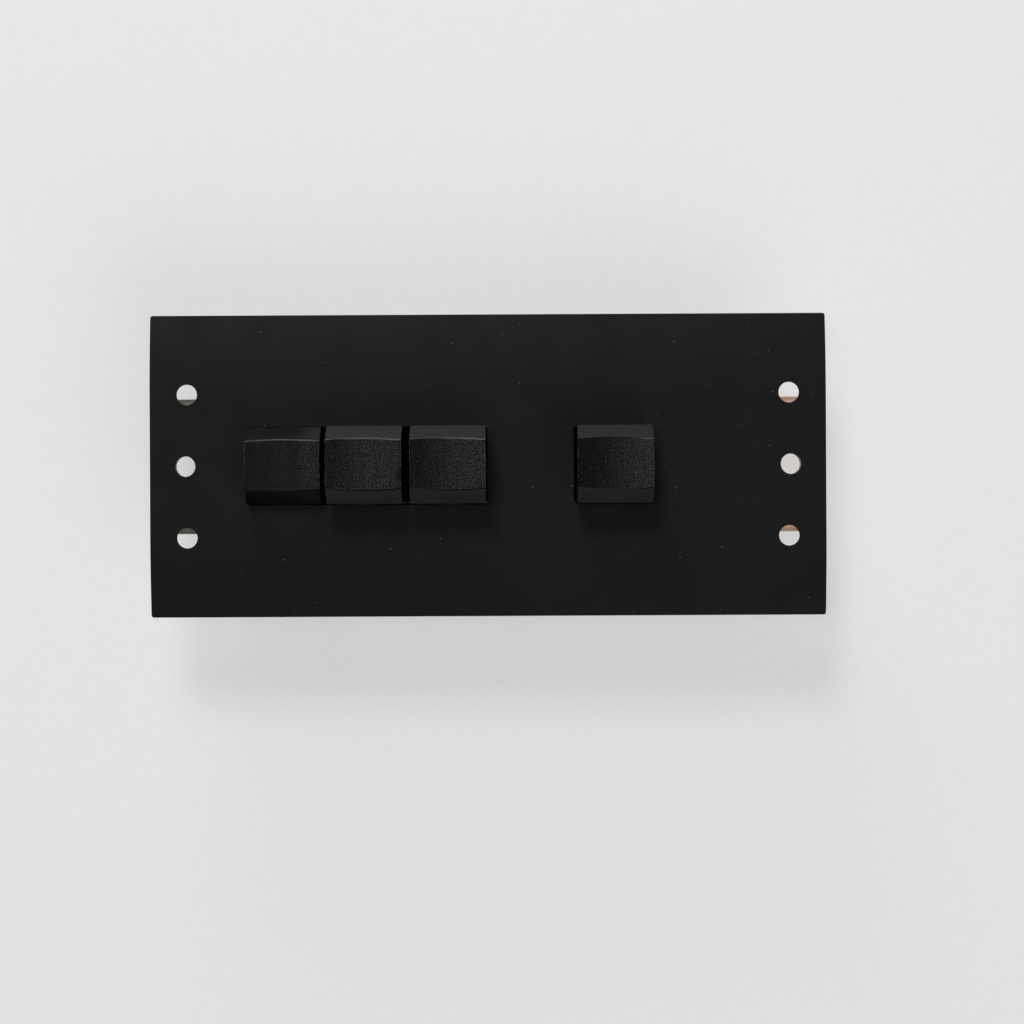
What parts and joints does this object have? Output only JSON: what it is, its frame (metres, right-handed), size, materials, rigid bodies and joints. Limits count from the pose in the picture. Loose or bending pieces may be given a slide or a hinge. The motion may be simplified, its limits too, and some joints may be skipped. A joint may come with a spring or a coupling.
{
  "type": "pushbutton switch",
  "caption": "Ganged pushbutton switch behind a thin black fascia sheet: interlocked latching buttons beside one push-push button in a folded steel channel with blade terminals.",
  "frame": {"origin": "centre of the fixing-hole pattern, on the front face of the black sheet", "axes": "+X along the button row towards the single button, +Z out of the buttons; a press moves a button along -Z"},
  "size_m": [0.1568, 0.0702, 0.0421],
  "materials": {
    "black_sheet": "matte black, thin flexible sheet",
    "cap_plastic": "black moulded plastic, grained face and smooth flanks",
    "plunger_plastic": "black moulded plastic",
    "zinc_steel": "yellow-passivated zinc plate on folded sheet steel",
    "phenolic": "dark paper-phenolic laminate",
    "brass": "rolled brass",
    "latch_steel": "bright zinc plate",
    "spring_steel": "drawn spring wire"
  },
  "bodies": {
    "chassis": {"panel_sheet": "black_sheet", "frame_channel": "zinc_steel", "terminal_board": "phenolic", "return_spring_1": "spring_steel", "return_spring_2": "spring_steel", "return_spring_3": "spring_steel", "return_spring_4": "spring_steel", "latch_bar_rivets": "latch_steel", "latch_spring": "spring_steel", "common_bus": "brass", "terminal_1": "brass", "terminal_2": "brass", "terminal_3": "brass", "terminal_4": "brass"},
    "pushed_1": {"button_1": "cap_plastic", "plunger_1": "plunger_plastic", "contact_bridge_1": "brass"},
    "pushed_2": {"button_2": "cap_plastic", "plunger_2": "plunger_plastic", "contact_bridge_2": "brass"},
    "pushed_3": {"button_3": "cap_plastic", "plunger_3": "plunger_plastic", "contact_bridge_3": "brass"},
    "pushed_4": {"button_4": "cap_plastic", "plunger_4": "plunger_plastic", "contact_bridge_4": "brass"},
    "interlock": {"latch_bar": "latch_steel"},
    "cam_wire": {"latch_follower": "spring_steel"}
  },
  "joints": [
    {"name": "button_1_press", "type": "slide", "parent": "chassis", "child": "pushed_1", "axis": [0, 0, 1], "range_m": [-0.0008, 0.0065], "deforming": ["return_spring_1"]},
    {"name": "button_2_press", "type": "slide", "parent": "chassis", "child": "pushed_2", "axis": [0, 0, 1], "range_m": [-0.0073, 0], "stiffness_N_per_m": 250, "springref_m": 0.003, "deforming": ["return_spring_2"]},
    {"name": "button_3_press", "type": "slide", "parent": "chassis", "child": "pushed_3", "axis": [0, 0, 1], "range_m": [-0.0073, 0], "stiffness_N_per_m": 250, "springref_m": 0.003, "deforming": ["return_spring_3"]},
    {"name": "button_4_press", "type": "slide", "parent": "chassis", "child": "pushed_4", "axis": [0, 0, 1], "range_m": [-0.0073, 0], "stiffness_N_per_m": 250, "springref_m": 0.003, "deforming": ["return_spring_4"]},
    {"name": "latch_bar_slide", "type": "slide", "parent": "chassis", "child": "interlock", "axis": [1, 0, 0], "range_m": [-0.00135, 0.0003], "stiffness_N_per_m": 300},
    {"name": "follower_swing", "type": "hinge", "parent": "chassis", "child": "cam_wire", "pos_m": [0.02908, 0.0151, -0.0046], "axis": [0, -1, 0], "range_deg": [0, 34.5]}
  ]
}
